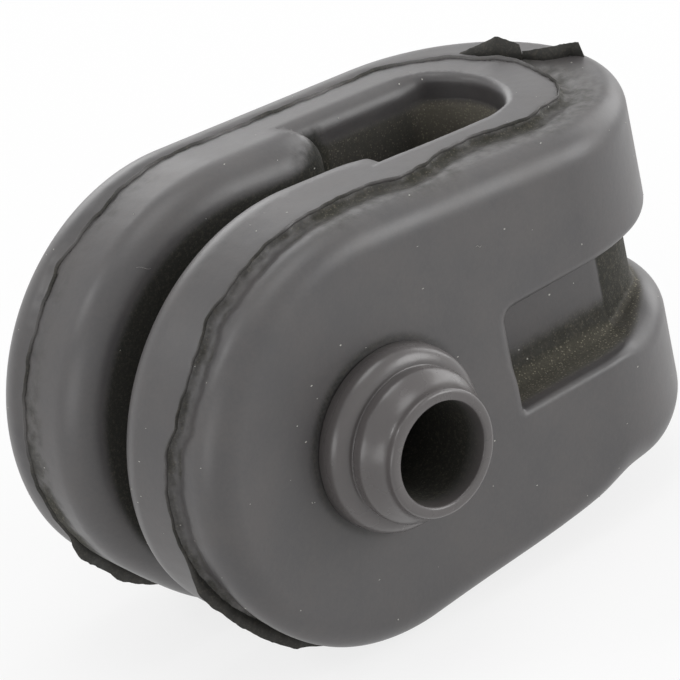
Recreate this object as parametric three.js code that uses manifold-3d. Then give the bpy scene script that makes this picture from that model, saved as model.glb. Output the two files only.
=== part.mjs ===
// Moulded rubber hanger that carries an exhaust pipe: two thick round-ended cheeks with a slot
// between them, joined by a round nose. A rod goes through the bore of the cheeks and its two
// collars, and a strap lies in the recesses of the flanks and in the groove round the nose.
// Units are millimetres. X runs from the bore to the nose, Y is the bore's axis, Z is up.
// The origin lies on the bore's axis, half way between the two outer faces.

import * as THREE from "three";
import { mergeVertices } from "three/addons/utils/BufferGeometryUtils.js";
import Module from "manifold-3d";

const wasm = await Module();
wasm.setup();

// Sizes of the body

const RIM_RADIUS = 23.8; // radius of the cheeks' round ends, measured on the rim's inner part
const HALF_THICKNESS = 17.8; // from the middle plane to an outer face
const NOSE_X = 28.2; // where the flat faces end and the round nose starts
const TAPER = THREE.MathUtils.degToRad(6); // lean of each flank toward the nose
const RIM_LEVEL_Y = 6.4; // from the middle plane to where the rim starts to fall outward
const PARTING_Y = 11.6; // from the middle plane to the parting line on the rim
const RIM_FALL = 0.25; // fall of the rim between those two lines
const PARTING_STEP = 0.55; // sudden drop of the rim at the parting line
const EDGE_ROUND = 3.4; // radius of the long edge between rim and outer face
const NOSE_ROUND = 2; // radius of the same edge at the tip of the nose

// Sizes of the slot between the cheeks

const PAD_GAP = 4.7; // free width between the pads round the bore
const PAD_LIP_ROUND = 4; // radius of the lips where the pads meet the rim
const PAD_END_X = 15; // where the pads end and the wider pocket starts
const PAD_CORNER = 2.2; // radius of the pads' upright corner
const POCKET_WIDTH = 12.7;
const POCKET_LIP_ROUND = 2; // radius of the lips where the pocket meets the rim
const POCKET_CORNER_X = 30; // where the pocket's side walls end
const POCKET_END_X = 33; // deepest point of the hollow end wall

// Sizes of the strap recess and of the groove round the nose

const STRAP_WIDTH = 11.2; // height of the recess along Z
const RECESS_START_X = 17.1;
const RECESS_END_X = 34.3;
const RECESS_DEPTH = 6.3; // from the outer face to the recess floor
const RECESS_CORNER = 1.2; // radius of the corners at the closed end
const FLOOR_ROUND = 2.2; // hollow radius between recess floor and ledges
const MOUTH_ROUND = 1.3; // radius of the edge between recess and outer face
const GROOVE_RADIUS = 15; // floor of the groove, measured from the nose axis
const GROOVE_MOUTH_ROUND = 2.4; // radius of the edge between groove and nose

// Sizes of the bore and of the collars on the outer faces

const BORE_DIAMETER = 11;
const COLLAR_HEIGHT = 8;
const DISC_RADIUS = 9.8;
const DISC_HEIGHT = 3.3; // from the outer face to the crease above the disc
const DISC_ROUND = 1.6;
const RING_RADIUS = 8.15; // second ring above the crease
const CREASE_DEPTH = 0.35;
const RING_HEIGHT = 4.6; // from the outer face to the widest line of the second ring
const LIP_RADIUS = 6.75;
const LIP_HEIGHT = 7.4; // from the outer face to the foot of the tip's small bevel

// Fineness of the curves

const TURN_STEPS = 44; // along the round end of a cheek
const NOSE_STEPS = 30; // along the half circle of the nose
const ROUND_STEPS = 5; // across a rounded long edge
const LIP_STEPS = 3; // across the smaller rounds
const COLLAR_STEPS = 48; // round the bore and the collars
const CORNER_STEPS = 4; // round an upright corner
const HOLLOW_STEPS = 8; // across the pocket's hollow end wall
const NECK_STEPS = 6; // along a collar's hollow neck
const OVERCUT = 4; // how far a cutter runs past the surface that it opens
const SHARPEST = 0.2; // smallest radius that a corner keeps when its cutter narrows
const WELD = 1e-4; // points nearer than this are one point

const quarter = Math.PI / 2;
const halfPad = PAD_GAP / 2;
const halfPocket = POCKET_WIDTH / 2;
const halfStrap = STRAP_WIDTH / 2;
const boreRadius = BORE_DIAMETER / 2;

// Height of the flank plane that touches the circle of radius r round the bore's axis
const flankZ = (r, x) => r / Math.cos(TAPER) - x * Math.tan(TAPER);

// Even steps from a to b, both ends included
const steps = (a, b, n) => Array.from({ length: n + 1 }, (_, i) => a + ((b - a) * i) / n);

// Side outline at offset radius r and depth y, from the top flank round to the bottom flank
function outline(r, y, endX) {
  const turn = steps(quarter - TAPER, 3 * quarter + TAPER, TURN_STEPS);
  const round = turn.map((a) => [r * Math.cos(a), y, r * Math.sin(a)]);
  return [[endX, y, flankZ(r, endX)], ...round, [endX, y, -flankZ(r, endX)]];
}

// Triangles between rows of points of the same length; closed rows run round a solid
function grid(out, rows, closed = false) {
  for (let j = 0; j + 1 < rows.length; j += 1) {
    const count = rows[j].length;
    for (let i = 0; i + (closed ? 0 : 1) < count; i += 1) {
      const k = (i + 1) % count;
      out.push(rows[j][i], rows[j + 1][i], rows[j + 1][k]);
      out.push(rows[j][i], rows[j + 1][k], rows[j][k]);
    }
  }
}

// Triangles of one flat face, all from a point inside it
function fan(out, centre, ring) {
  for (let i = 0; i < ring.length; i += 1) {
    out.push(centre, ring[i], ring[(i + 1) % ring.length]);
  }
}

// Mean point of a ring of points
const middle = (ring) => [0, 1, 2].map((k) => ring.reduce((sum, p) => sum + p[k], 0) / ring.length);

// A solid between a first and a last ring, through the rings between them
function loft(rings) {
  const out = [];
  grid(out, rings, true);
  fan(out, middle(rings[0]), rings[0]);
  const last = [...rings[rings.length - 1]].reverse();
  fan(out, middle(last), last);
  return solid(out);
}

// A closed solid from loose triangles or from a geometry
function solid(source) {
  let raw = source;
  if (Array.isArray(source)) {
    raw = new THREE.BufferGeometry();
    raw.setAttribute("position", new THREE.Float32BufferAttribute(source.flat(), 3));
  }
  raw.deleteAttribute("normal");
  raw.deleteAttribute("uv");
  const welded = mergeVertices(raw, WELD);
  const index = welded.index.array;
  const at = welded.attributes.position.array;
  const kept = [];
  let volume = 0;
  for (let i = 0; i < index.length; i += 3) {
    const corner = [index[i], index[i + 1], index[i + 2]];
    if (new Set(corner).size < 3) continue;
    kept.push(...corner);
    const [p, q, s] = corner.map((k) => new THREE.Vector3().fromArray(at, 3 * k));
    volume += p.dot(q.cross(s));
  }
  if (volume < 0) kept.reverse();
  const vertProperties = new Float32Array(at);
  const triVerts = new Uint32Array(kept);
  return new wasm.Manifold(new wasm.Mesh({ numProp: 3, vertProperties, triVerts }));
}

// Half of the rim's cross-section, from its level part to the outer face: distance, drop
function rimProfile(round) {
  const low = RIM_FALL + PARTING_STEP;
  const edge = steps(0, quarter, ROUND_STEPS).map((a) => [
    HALF_THICKNESS - round * (1 - Math.sin(a)), low + round * (1 - Math.cos(a)),
  ]);
  return [[RIM_LEVEL_Y, 0], [PARTING_Y, RIM_FALL], [PARTING_Y, low], ...edge];
}

// The whole block: the rim's cross-section runs round the cheeks' round ends, along the tapered
// flanks and once round the nose, so that the long edge is one unbroken round
function block() {
  const out = [];
  const half = rimProfile(EDGE_ROUND);
  const mirrored = half.map(([y, drop]) => [-y, drop]).reverse();
  const across = [...mirrored, ...half];
  grid(out, across.map(([y, drop]) => outline(RIM_RADIUS - drop, y, NOSE_X)));

  const angles = steps(-quarter, quarter, NOSE_STEPS);
  const arc = (row, side) =>
    angles.map((a) => {
      const round = EDGE_ROUND + (NOSE_ROUND - EDGE_ROUND) * Math.cos(a) ** 2;
      const [distance, drop] = rimProfile(round)[row];
      const x = NOSE_X + distance * Math.cos(a);
      return [x, distance * Math.sin(a), side * flankZ(RIM_RADIUS - drop, x)];
    });
  const last = half.length - 1;
  grid(out, half.map((_, row) => arc(row, 1)));
  grid(out, half.map((_, row) => arc(row, -1).reverse()));
  grid(out, [arc(last, 1), arc(last, -1)]);

  const inside = NOSE_X + RIM_LEVEL_Y / 3;
  for (const side of [1, -1]) {
    const ring = arc(0, side);
    fan(out, [inside, 0, side * flankZ(RIM_RADIUS, inside)], side > 0 ? ring : ring.reverse());
    const [y, drop] = half[last];
    const face = outline(RIM_RADIUS - drop, side * y, NOSE_X);
    fan(out, [0, side * y, 0], side > 0 ? face.reverse() : face);
  }
  return solid(out);
}

// Straight slot between the pads, open at the round ends, with rounded upright corners
function slotCutter() {
  const reach = RIM_RADIUS + OVERCUT;
  const turnX = PAD_END_X - PAD_CORNER;
  const turnY = halfPad + PAD_CORNER;
  const plan = new THREE.Shape();
  plan.moveTo(-reach, -halfPad);
  plan.lineTo(turnX, -halfPad);
  plan.absarc(turnX, -turnY, PAD_CORNER, quarter, 0, true);
  plan.lineTo(PAD_END_X + OVERCUT, -turnY);
  plan.lineTo(PAD_END_X + OVERCUT, turnY);
  plan.lineTo(PAD_END_X, turnY);
  plan.absarc(turnX, turnY, PAD_CORNER, 0, -quarter, true);
  plan.lineTo(-reach, halfPad);
  const depth = 2 * reach;
  const options = { depth, bevelEnabled: false, curveSegments: CORNER_STEPS };
  return solid(new THREE.ExtrudeGeometry(plan, options).translate(0, 0, -reach));
}

// Rounds the lip of one pad: a strip along the pad's outline, whose inner side is the round
function padLipCutter(side) {
  const inside = halfPad / 2;
  const outer = RIM_RADIUS + OVERCUT;
  const lip = steps(0, quarter, LIP_STEPS).map((a) => [
    halfPad + PAD_LIP_ROUND * (1 - Math.cos(a)),
    RIM_RADIUS - PAD_LIP_ROUND * (1 - Math.sin(a)),
  ]);
  const edge = halfPad + PAD_LIP_ROUND;
  const section = [[inside, RIM_RADIUS - PAD_LIP_ROUND], ...lip, [edge, outer], [inside, outer]];
  const out = [];
  const rows = section.map(([y, r]) => outline(r, side * y, PAD_END_X));
  grid(out, [...rows, rows[0]]);
  const first = rows.map((row) => row[0]).reverse();
  const last = rows.map((row) => row[row.length - 1]);
  fan(out, middle(first), first);
  fan(out, middle(last), last);
  return solid(out);
}

// Pocket behind the pads, hollow toward the nose, with rounded lips at the top and the bottom
function pocketCutter() {
  const rise = POCKET_END_X - POCKET_CORNER_X;
  const endRadius = (halfPocket ** 2 + rise ** 2) / (2 * rise);
  const endCentre = POCKET_END_X - endRadius;
  const sweep = Math.asin(halfPocket / endRadius);
  const ring = (grow, drop, side) => {
    const end = steps(-sweep, sweep, HOLLOW_STEPS).map((a) => [
      endCentre + (endRadius + grow) * Math.cos(a),
      (halfPocket + grow) * (Math.sin(a) / Math.sin(sweep)),
    ]);
    const start = PAD_END_X - grow;
    const plan = [[start, -halfPocket - grow], ...end, [start, halfPocket + grow]];
    return plan.map(([x, y]) => [x, y, side * flankZ(RIM_RADIUS - drop, x)]);
  };
  const lip = steps(0, quarter, LIP_STEPS).map((a) => [
    POCKET_LIP_ROUND * (1 - Math.cos(a)), POCKET_LIP_ROUND * (1 - Math.sin(a)),
  ]);
  lip.push([POCKET_LIP_ROUND, -OVERCUT]);
  const top = lip.map(([grow, drop]) => ring(grow, drop, 1));
  const bottom = lip.map(([grow, drop]) => ring(grow, drop, -1)).reverse();
  return loft([...bottom, ...top]);
}

// Strap recess of one flank: flat floor, hollow round to the ledges, rounded mouth
function recessCutter(side) {
  const ring = (grow, y) => {
    const corner = Math.max(RECESS_CORNER + grow, SHARPEST);
    const [turnX, half] = [RECESS_START_X - grow + corner, halfStrap + grow];
    const turn = (centreZ) => (a) => [
      turnX + corner * Math.cos(a), centreZ + corner * Math.sin(a),
    ];
    const top = steps(quarter, 2 * quarter, CORNER_STEPS).map(turn(half - corner));
    const bottom = steps(2 * quarter, 3 * quarter, CORNER_STEPS).map(turn(corner - half));
    const plan = [[RECESS_END_X, half], ...top, ...bottom, [RECESS_END_X, -half]];
    return plan.map(([x, z]) => [x, side * y, z]);
  };
  const floor = HALF_THICKNESS - RECESS_DEPTH;
  const hollow = steps(0, quarter, LIP_STEPS).map((a) =>
    ring(-FLOOR_ROUND * (1 - Math.sin(a)), floor + FLOOR_ROUND * (1 - Math.cos(a)))
  );
  const mouth = steps(0, quarter, LIP_STEPS).map((a) =>
    ring(MOUTH_ROUND * (1 - Math.cos(a)), HALF_THICKNESS - MOUTH_ROUND * (1 - Math.sin(a)))
  );
  return loft([...hollow, ...mouth, ring(MOUTH_ROUND, HALF_THICKNESS + OVERCUT)]);
}

// Groove round the nose: half a ring, as high as the strap, with rounded edges to the nose
function grooveCutter() {
  const upper = steps(0, quarter, LIP_STEPS).map((a) => [
    HALF_THICKNESS - GROOVE_MOUTH_ROUND * (1 - Math.sin(a)),
    halfStrap + GROOVE_MOUTH_ROUND * (1 - Math.cos(a)),
  ]);
  const outer = HALF_THICKNESS + OVERCUT;
  const half = [[GROOVE_RADIUS, halfStrap], ...upper, [outer, halfStrap + GROOVE_MOUTH_ROUND]];
  const section = [...half, ...half.map(([r, z]) => [r, -z]).reverse()];
  const turn = steps(-quarter, quarter, NOSE_STEPS);
  const rings = turn.map((a) =>
    section.map(([r, z]) => [NOSE_X + r * Math.cos(a), r * Math.sin(a), z])
  );
  return loft(rings);
}

// Collar round the bore: disc, small crease, second ring, neck and flat tip, one turned shape
function collar(side) {
  const crease = RING_RADIUS - CREASE_DEPTH;
  const shoulder = steps(0, quarter, LIP_STEPS).map((a) => [
    DISC_RADIUS - DISC_ROUND * (1 - Math.cos(a)),
    DISC_HEIGHT - DISC_ROUND * (1 - Math.sin(a)),
  ]);
  const neck = steps(0, 1, NECK_STEPS).map((t) => [
    LIP_RADIUS + (RING_RADIUS - LIP_RADIUS) * (1 - t) ** 2,
    RING_HEIGHT + (LIP_HEIGHT - RING_HEIGHT) * t,
  ]);
  const bevel = COLLAR_HEIGHT - LIP_HEIGHT;
  const profile = [
    [0, -OVERCUT], [DISC_RADIUS, -OVERCUT], ...shoulder,
    [crease, DISC_HEIGHT], ...neck,
    [LIP_RADIUS - bevel / 2, COLLAR_HEIGHT], [0, COLLAR_HEIGHT],
  ];
  const points = profile.map(([r, h]) => new THREE.Vector2(r, HALF_THICKNESS + h));
  const turned = new THREE.LatheGeometry(points, COLLAR_STEPS);
  return solid(side > 0 ? turned : turned.rotateX(Math.PI));
}

function hanger() {
  let body = block().subtract(slotCutter()).subtract(pocketCutter());
  for (const side of [1, -1]) {
    body = body.subtract(padLipCutter(side)).subtract(recessCutter(side)).add(collar(side));
  }
  body = body.subtract(grooveCutter());
  const length = 2 * (HALF_THICKNESS + COLLAR_HEIGHT + OVERCUT);
  const bore = new THREE.CylinderGeometry(boreRadius, boreRadius, length, COLLAR_STEPS);
  return body.subtract(solid(bore));
}

// Back to a plain mesh with flat faces
function meshOf(name, shape, material) {
  const { numProp, vertProperties, triVerts } = shape.getMesh();
  const geometry = new THREE.BufferGeometry();
  const position = [];
  for (let i = 0; i < vertProperties.length; i += numProp) {
    position.push(vertProperties[i], vertProperties[i + 1], vertProperties[i + 2]);
  }
  geometry.setAttribute("position", new THREE.Float32BufferAttribute(position, 3));
  geometry.setIndex([...triVerts]);
  geometry.computeVertexNormals();
  const mesh = new THREE.Mesh(geometry, material);
  mesh.name = name;
  return mesh;
}

const rubber = new THREE.MeshStandardMaterial({ color: 0x5a5859, roughness: 0.62, metalness: 0 });

const model = new THREE.Group();
model.name = "exhaust_hanger_rubber";
model.add(meshOf("hanger_rubber", hanger(), rubber));

export default model;
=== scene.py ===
import math

import bpy
import numpy as np
from bpy.props import FloatProperty, FloatVectorProperty, IntProperty, PointerProperty
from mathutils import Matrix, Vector


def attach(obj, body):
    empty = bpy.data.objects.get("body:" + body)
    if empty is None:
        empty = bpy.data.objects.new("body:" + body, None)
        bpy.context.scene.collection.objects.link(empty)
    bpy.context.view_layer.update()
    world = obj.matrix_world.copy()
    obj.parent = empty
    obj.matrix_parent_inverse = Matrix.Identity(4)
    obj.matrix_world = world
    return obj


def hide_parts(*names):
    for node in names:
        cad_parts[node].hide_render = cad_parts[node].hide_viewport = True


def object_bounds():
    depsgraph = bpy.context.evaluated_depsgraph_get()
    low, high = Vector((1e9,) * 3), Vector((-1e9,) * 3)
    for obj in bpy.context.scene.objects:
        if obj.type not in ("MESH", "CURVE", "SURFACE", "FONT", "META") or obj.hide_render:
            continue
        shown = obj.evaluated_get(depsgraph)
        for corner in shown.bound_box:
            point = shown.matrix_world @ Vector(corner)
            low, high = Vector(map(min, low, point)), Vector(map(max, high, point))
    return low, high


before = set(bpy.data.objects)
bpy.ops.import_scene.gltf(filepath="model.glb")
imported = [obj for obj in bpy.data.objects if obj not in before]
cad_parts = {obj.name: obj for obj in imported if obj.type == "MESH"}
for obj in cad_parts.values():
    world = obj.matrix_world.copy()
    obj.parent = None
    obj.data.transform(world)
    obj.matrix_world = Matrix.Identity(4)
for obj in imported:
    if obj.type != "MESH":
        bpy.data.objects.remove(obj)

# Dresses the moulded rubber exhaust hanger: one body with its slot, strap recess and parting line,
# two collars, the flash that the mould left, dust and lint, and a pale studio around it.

bl_info = {
    "name": "Rubber Exhaust Hanger",
    "version": (1, 0, 0),
    "blender": (4, 5, 0),
    "location": "3D View > Sidebar > Hanger",
    "description": "Builds the rubber exhaust hanger and a pale studio around it",
    "category": "Object",
}

LOW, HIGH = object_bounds()
NODE = "hanger_rubber"
MM = 0.001
RIM_SLOPE = 0.25 * MM  # how far the rim falls between its level part and the parting line


# Sizes and finishes that a user would change

def length(name, description, default, smallest=0.0):
    """A length, given here in millimetres and kept in metres."""
    return FloatProperty(
        name=name, description=description, default=default * MM, min=smallest * MM, precision=5,
        unit="LENGTH", subtype="DISTANCE",
    )


def share(name, description, default):
    return FloatProperty(name=name, description=description, default=default, min=0.0, max=1.0)


def slant(name, description, degrees):
    return FloatProperty(
        name=name, description=description, default=math.radians(degrees), min=0.0, max=1.0,
        subtype="ANGLE",
    )


def amount(name, description, default):
    return FloatProperty(name=name, description=description, default=default, min=0.0)


def power(name, description, default):
    return FloatProperty(name=name, description=description, default=default, min=0.0, unit="POWER")


def tint(name, description, default):
    return FloatVectorProperty(
        name=name, description=description, default=default, size=4, min=0.0, max=1.0, subtype="COLOR"
    )


class BodySizes(bpy.types.PropertyGroup):
    """Sizes of the moulded body."""

    mesh_cell: length("Mesh cell", "Width of one face of the body's mesh", 0.45, 0.2)
    rim_radius: length("Rim radius", "Round ends of the cheeks, inside the parting line", -LOW.x / MM)
    half_thickness: length("Half thickness", "Middle plane to an outer face", 17.8)
    taper: slant("Taper", "Lean of each flank toward the nose", 6)
    parting_depth: length("Parting depth", "Middle plane to the parting line", 11.6)
    parting_step: length("Parting step", "Drop of the rim at the parting line", 0.55)
    edge_round: length("Edge round", "Radius between rim and outer face", 3.4)
    nose_round_top: length("Upper nose round", "Same radius at the nose, above", 1.6)
    nose_round_bottom: length("Lower nose round", "Same radius at the nose, below", 3.8)
    nose_corner: length("Nose corner", "Extra radius where the lower flank turns into the nose", 1.5)
    back_ease: length("Back ease", "Extra radius of that edge on the back cheek", 0.4)
    flank_ease: length("Flank ease", "How much sharper that edge is under the middle", 0.7)
    pad_gap: length("Pad gap", "Free width between the pads round the bore", 4.7)
    pad_lip: length("Pad lip", "Radius of the pads' lips", 4.0)
    pad_end: length("Pad end", "Where the pads end along X", 15.0)
    pad_corner: length("Pad corner", "Radius of the pads' upright corner", 2.4)
    pad_relief: length("Pad relief", "How far the pads fall back toward their end", 1.3)
    pocket_width: length("Pocket width", "Width of the pocket behind the pads", 12.7)
    pocket_lip: length("Pocket lip", "Radius of the pocket's lips", 2.0)
    pocket_corner: length("Pocket corner", "Where the pocket's side walls end", 30.0)
    pocket_end: length("Pocket end", "Deepest point of the hollow end wall", 33.0)
    strap_width: length("Strap width", "Height of the strap recess", 11.2)
    recess_start: length("Recess start", "Closed end of the recess along X", 17.1)
    recess_end: length("Recess end", "Where the recess floor meets the groove", 34.3)
    recess_depth: length("Recess depth", "Outer face to recess floor", 6.3)
    recess_corner: length("Recess corner", "Radius of the closed end's upper corner", 1.2)
    recess_corner_low: length("Lower recess corner", "Radius of its lower corner", 0.35)
    floor_round: length("Floor round", "Hollow radius beside the recess floor", 2.2)
    mouth_round: length("Mouth round", "Edge between recess and outer face", 1.3)
    mouth_round_low: length("Lower mouth round", "The same edge below the recess", 0.8)
    groove_radius: length("Groove radius", "Groove floor from the nose axis", 15.0)
    core_slant: slant("Core slant", "Lean of the core's side between recess floor and nose", 20)
    core_round: length("Core round", "Radius between that side and the groove floor", 1.0)
    core_edge: length("Core edge", "Radius between that side and the recess floor", 0.3)
    groove_round: length("Groove round", "Hollow radius beside the groove floor", 1.0)
    groove_mouth_top: length("Upper groove mouth", "Edge between groove and nose, above", 1.0)
    groove_mouth_bottom: length("Lower groove mouth", "Edge between groove and nose, below", 3.0)
    swell_top: length("Upper swell", "How far the upper lobe fills the groove", 0.35)
    swell_bottom: length("Lower swell", "How far the lower lobe fills the groove", 1.45)
    bore: length("Bore", "Diameter of the rod's bore", 11.0)


class CollarSizes(bpy.types.PropertyGroup):
    """Sizes of the collars on both outer faces."""

    disc_radius: length("Disc radius", "Outer radius at the foot", 9.8)
    disc_height: length("Disc height", "Face to the crease above the disc", 3.3)
    ring_radius: length("Ring radius", "Outer radius of the second ring", 8.15)
    ring_height: length("Ring height", "Face to the widest line of the ring", 4.6)
    crease: length("Crease", "Depth of the crease between the rings", 0.35)
    tip_radius: length("Tip radius", "Outer radius of the flat tip", 6.75)
    segments: IntProperty(name="Segments", description="Faces round a collar", default=160, min=24)


class FlashSizes(bpy.types.PropertyGroup):
    """Sizes of the thin flash along the parting line."""

    height: length("Height", "Usual height of the flash", 0.24)
    width: length("Width", "Thickness of the flash at its foot", 0.2)
    ragged: share("Ragged", "How much the height wanders", 0.5)
    seed: IntProperty(name="Seed", description="Another pattern of wandering", default=4)


class DustSizes(bpy.types.PropertyGroup):
    """Sizes of the specks and lint that lie on the rubber."""

    speck: length("Speck", "Radius of a usual speck", 0.075)
    density: amount("Density", "Specks on each square metre", 22000.0)
    hair_length: length("Lint length", "Length of a usual hair of lint", 1.5)
    hair_radius: length("Lint radius", "Radius of a hair of lint", 0.022)
    hair_density: amount("Lint density", "Hairs of lint on each square metre", 1900.0)
    seed: IntProperty(name="Seed", description="Another scatter of dust", default=11)


class Finish(bpy.types.PropertyGroup):
    """Colours and gloss of the rubber, of what lies on it, and of the shade painted into it."""

    rubber: tint("Rubber", "Clean moulded rubber", (0.0635, 0.0605, 0.062, 1.0))
    worn: tint("Worn rubber", "Paler, browner patches", (0.077, 0.0715, 0.0708, 1.0))
    rubbed: tint("Rubbed rubber", "Paler, browner collars", (0.103, 0.093, 0.091, 1.0))
    # This dark colour, with the paler soil clots, paints dirt and also shade in the slot, the bore, on the
    # core and beside the flash.
    grime: tint("Grime", "Dirt in the hollows", (0.012, 0.0124, 0.0097, 1.0))
    soil: tint("Soil", "Paler clots in that dirt", (0.05, 0.044, 0.034, 1.0))
    dust: tint("Dust", "Earth-coloured specks in the hollows", (0.24, 0.221, 0.168, 1.0))
    lint: tint("Lint", "Pale specks and hairs", (0.55, 0.54, 0.5, 1.0))
    gloss: share("Roughness", "Roughness of the clean rubber", 0.42)
    skin: share("Skin gloss", "Gloss of the rubber's skin, seen at a low angle", 0.2)


class StudioSizes(bpy.types.PropertyGroup):
    """Camera, lamps and floor."""

    front: power("Front lamp", "Soft lamp at the right, before the hanger", 5.6)
    left: power("Left lamp", "Soft lamp at the round ends", 2.4)
    right: power("Right lamp", "Soft lamp at the nose", 2.8)
    top: power("Top lamp", "Soft lamp over the hanger", 2.7)
    back: power("Back lamp", "Soft lamp behind the hanger", 2.8)
    small: power("Small lamp", "Small lamp that shows on the collars", 1.5)
    sky: amount("Sky", "Strength of the plain surroundings", 0.55)
    floor: length("Floor", "Half width of the floor", 3000.0)


# Shape of the body, as one function of place that is below nought inside the rubber

def smooth_step(low, high, value):
    """Nought at the low value, one at the high value and beyond, and a soft change between."""
    t = np.clip((value - low) / (high - low), 0.0, 1.0)
    return t * t * (3.0 - 2.0 * t)


def bump(value, centre, width):
    """One at the centre, falling off softly to both sides."""
    return np.exp(-(((value - centre) / width) ** 2))


def step_mm(low, high, value):
    """The same soft change between two places that are given in millimetres."""
    return smooth_step(low * MM, high * MM, value)


def bump_mm(value, centre, width):
    return bump(value, centre * MM, width * MM)


def mix(first, second, part):
    """The first value, the second one, or what lies this part of the way between."""
    return first + (second - first) * part


def upward(z, below, above):
    """A size that has one value below the strap recess's middle and another above it."""
    return mix(below, above, step_mm(-2, 2, z))


def both(a, b, radius):
    """The part of space inside both shapes, with an edge of this radius where they meet."""
    corner = np.hypot(np.maximum(a + radius, 0.0), np.maximum(b + radius, 0.0))
    return np.minimum(np.maximum(a, b), -radius) + corner


def either(a, b, radius):
    """The part of space inside one shape or the other, with a hollow of this radius between."""
    return -both(-a, -b, radius)


def flank_reach(x, z, taper):
    """Distance from the bore's axis to the side outline that runs through this place."""
    cos, sin = math.cos(taper), math.sin(taper)
    height = np.abs(z)
    on_flank = x * cos - height * sin > 0.0
    return np.where(on_flank, height * cos + x * sin, np.hypot(x, z))


def nose_axis(s):
    """Place along X of the upright axis that the nose is round about."""
    return HIGH.x - s.half_thickness


def nose_depth(x, y, s):
    """Distance from the middle plane, or from the nose's upright axis where the nose is round."""
    axis = nose_axis(s)
    return np.where(x > axis, np.hypot(x - axis, y), np.abs(y))


# Bays of the parting line: how far each strays outward in mm, round what place, and its width.
# Places are degrees round the bore, mm along X on the upper flank, and degrees round the nose.
FRONT_BAYS = ((0.5, 143, 16), (-0.5, 128, 5), (0.6, 207, 10))
FRONT_INLET, FRONT_INLET_START = (-0.85, 172, 26), (156, 162)
BACK_BAYS = ((0.35, 129, 4), (-0.3, 112, 6), (-1.1, 207, 16))
FLANK_BAYS = ((-0.55, 6.5, 3), (0.6, 12, 2.2))
FLANK_INLET, FLANK_INLET_START = (-1.4, 22, 6), (15, 17)
NOSE_SETBACK = -1.0
NOSE_BAYS = ((-0.7, 31, 13), (-0.35, -6, 12), (0.9, -50, 18))


def bays(place, *rows):
    """Sum of these bays at a place."""
    return sum(stray * bump(place, middle, width) for stray, middle, width in rows)


def angle_round(x, z):
    """Degrees round the bore, from the nose upward."""
    return np.degrees(np.arctan2(z, x)) % 360.0


def wander(x, y, z, s):
    """How far the parting line strays outward from its even course."""
    angle = angle_round(x, z)
    round_end = step_mm(4, -4, x)
    above = z > 0
    front = bays(angle, *FRONT_BAYS) + smooth_step(*FRONT_INLET_START, angle) * bays(angle, FRONT_INLET)
    flank = bays(x / MM, *FLANK_BAYS)
    flank = flank + smooth_step(*FLANK_INLET_START, x / MM) * bays(x / MM, FLANK_INLET)
    stray = np.where(y < 0, round_end * front + above * flank, round_end * bays(angle, *BACK_BAYS))
    nose = step_mm(0, 5, x - nose_axis(s)) * above
    turn = np.degrees(np.arctan2(y, np.maximum(x - nose_axis(s), 1e-9)))
    stray = stray + nose * (NOSE_SETBACK + bays(turn, *NOSE_BAYS))
    return stray * MM + ripple(x, y, z, angle, turn, s)


LONG_RIPPLE, SHORT_RIPPLE = (0.08 * MM, 1.3), (0.06 * MM, 3.1)  # height, and radians per mm


def ripple(x, y, z, angle, turn, s):
    """Small unevenness of the parting line, by the length along it."""
    quarter = 0.5 * math.pi * s.rim_radius
    flank = np.where(z > 0, quarter - x, 3 * quarter + x)
    round_nose = quarter - nose_axis(s) - s.parting_depth * np.radians(90 - np.abs(turn))
    along = np.where(x < 0, np.radians(angle) * s.rim_radius, flank)
    along = np.where(x > nose_axis(s), round_nose, along) / MM
    shift = 1.5 * np.clip(y / (5 * MM), -1.0, 1.0)
    (long_height, long_pace), (short_height, short_pace) = LONG_RIPPLE, SHORT_RIPPLE
    long_wave = long_height * np.sin(long_pace * along + shift)
    return long_wave + short_height * np.sin(short_pace * along - shift)


DIP_DEPTH, DIP_MIDDLE, DIP_WIDTH = 1.1 * MM, 226, 19  # the last two are degrees round the bore


def low_dip(x, y, z):
    """The round ends are a little flat at the lower left, between the parting lines."""
    inner = step_mm(17, 12, np.abs(y)) * (x < 0)
    return DIP_DEPTH * bump(angle_round(x, z), DIP_MIDDLE, DIP_WIDTH) * inner


GUTTER_DEPTH, GUTTER_MIDDLE, GUTTER_WIDTH = 0.28 * MM, 1.1 * MM, 0.8 * MM


def rim_drop(depth, line, s):
    """Fall of the rim: a slight slope, then a step and a shallow gutter past the parting line."""
    slope = RIM_SLOPE * np.clip((depth - line) / (5 * MM) + 1.0, 0.0, 1.0)
    step = s.parting_step * step_mm(-0.1, 0.45, depth - line)
    gutter = GUTTER_DEPTH * bump(depth - line, GUTTER_MIDDLE, GUTTER_WIDTH)
    return slope + step + gutter


POCKET_HOLLOW = 0.4 * MM  # radius between the pocket's side walls and its end wall


def slot_walls(x, y, s):
    """Two values, below nought in the pads and in the rest of the rubber beside the slot."""
    side = np.abs(y)
    half_pocket = s.pocket_width / 2
    relief = s.pad_relief * smooth_step(0.5 * s.pad_end, s.pad_end, x) ** 2
    pads = both(s.pad_gap / 2 + relief - side, x - s.pad_end, s.pad_corner)
    rise = s.pocket_end - s.pocket_corner
    radius = (half_pocket ** 2 + rise ** 2) / (2 * rise)
    hollow = radius - np.hypot(np.maximum(x - (s.pocket_end - radius), 0.0), y)
    return pads, either(half_pocket - side, hollow, POCKET_HOLLOW)


# Stretches along X, in mm, over which a size grows or gives way to another
SWELL_RANGE = (33, 41)
HOLLOW_RANGE = (31, 37)
MOUTH_RANGE = (30, 38)
POCKET_LIP_RANGE, POCKET_LIP_LOSS = (27, 31), 0.45
# Middle and width along X, in mm
FLANK_EASE_PLACE = (19, 9)
NOSE_CORNER_PLACE = (30.2, 3.4)


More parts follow.
